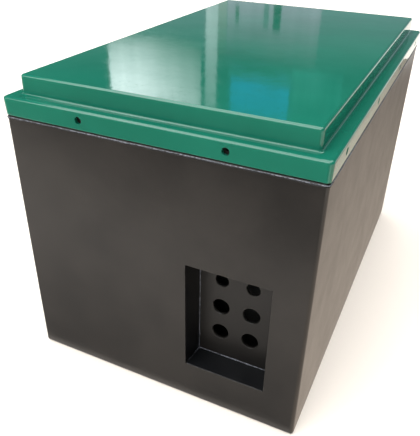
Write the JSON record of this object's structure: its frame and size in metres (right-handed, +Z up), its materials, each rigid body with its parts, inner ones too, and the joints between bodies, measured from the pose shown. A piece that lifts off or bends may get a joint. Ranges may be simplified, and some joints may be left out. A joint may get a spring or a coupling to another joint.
{
  "type": "bait station",
  "caption": "Large box-shaped bait station with a lift-off raised-panel lid, a recessed panel of round entry holes, an inner baffle, bait rods in racks and a loose-bait tray.",
  "frame": {"origin": "middle of the underside, on the surface the station stands on", "axes": "+Z up; -Y out of the end with the entry recess; +Y along the length, towards the plain end; +X to the right seen from the entry end, the side the recess is nearer"},
  "size_m": [0.3486, 0.5626, 0.36],
  "materials": {
    "grey_fibreglass": "satin, finely grained, dark brownish grey moulded glass fibre",
    "green_gelcoat": "high gloss green gelcoat",
    "dark_fibreglass": "satin dark grey glass fibre",
    "seal_foam": "closed-cell foam",
    "zinc_steel": "zinc-plated steel",
    "bright_steel": "drawn stainless wire",
    "spring_steel": "oiled spring steel",
    "aluminium": "mill-finish sheet",
    "bait_wax": "waxy block with grain in it",
    "tray_plastic": "fine satin black polypropylene"
  },
  "bodies": {
    "station": {"baffle_channel_left": "dark_fibreglass", "baffle_channel_right": "dark_fibreglass", "body_shell": "grey_fibreglass", "entry_plate": "dark_fibreglass", "entry_pocket": "dark_fibreglass", "nut_plate_back_1": "zinc_steel", "nut_plate_back_2": "zinc_steel", "nut_plate_front_1": "zinc_steel", "nut_plate_front_2": "zinc_steel", "nut_plate_left_1": "zinc_steel", "nut_plate_left_2": "zinc_steel", "nut_plate_left_3": "zinc_steel", "nut_plate_left_4": "zinc_steel", "nut_plate_right_1": "zinc_steel", "nut_plate_right_2": "zinc_steel", "nut_plate_right_3": "zinc_steel", "nut_plate_right_4": "zinc_steel", "rack_screw_left_1": "zinc_steel", "rack_screw_left_2": "zinc_steel", "rack_screw_right_1": "zinc_steel", "rack_screw_right_2": "zinc_steel", "rod_rack_left": "aluminium", "rod_rack_right": "aluminium", "tray_rail_left": "dark_fibreglass", "tray_rail_right": "dark_fibreglass"},
    "lid": {"lid_shell": "green_gelcoat", "lid_seal": "seal_foam"},
    "baffle": {"baffle_plate": "aluminium"},
    "rod_1": {"bait_block_1_1": "bait_wax", "bait_block_1_2": "bait_wax", "bait_block_1_3": "bait_wax", "bait_block_1_4": "bait_wax", "bait_rod_1": "bright_steel", "rod_clip_1_left": "spring_steel", "rod_clip_1_right": "spring_steel"},
    "rod_2": {"bait_block_2_1": "bait_wax", "bait_block_2_2": "bait_wax", "bait_block_2_3": "bait_wax", "bait_block_2_4": "bait_wax", "bait_rod_2": "bright_steel", "rod_clip_2_left": "spring_steel", "rod_clip_2_right": "spring_steel"},
    "rod_3": {"bait_block_3_1": "bait_wax", "bait_block_3_2": "bait_wax", "bait_block_3_3": "bait_wax", "bait_block_3_4": "bait_wax", "bait_rod_3": "bright_steel", "rod_clip_3_left": "spring_steel", "rod_clip_3_right": "spring_steel"},
    "tray": {"bait_tray": "tray_plastic"}
  },
  "joints": [
    {"name": "lid_lift", "type": "slide", "parent": "station", "child": "lid", "axis": [0, 0, 1], "range_m": [0, 0.25]},
    {"name": "baffle_lift", "type": "slide", "parent": "station", "child": "baffle", "axis": [0, 0, 1], "range_m": [0, 0.085]},
    {"name": "rod_1_lift", "type": "slide", "parent": "station", "child": "rod_1", "axis": [0, 0, 1], "range_m": [0, 0.2]},
    {"name": "rod_2_lift", "type": "slide", "parent": "station", "child": "rod_2", "axis": [0, 0, 1], "range_m": [0, 0.2]},
    {"name": "rod_3_lift", "type": "slide", "parent": "station", "child": "rod_3", "axis": [0, 0, 1], "range_m": [0, 0.2]},
    {"name": "tray_lift", "type": "slide", "parent": "station", "child": "tray", "axis": [0, 0, 1], "range_m": [0, 0.28]}
  ]
}
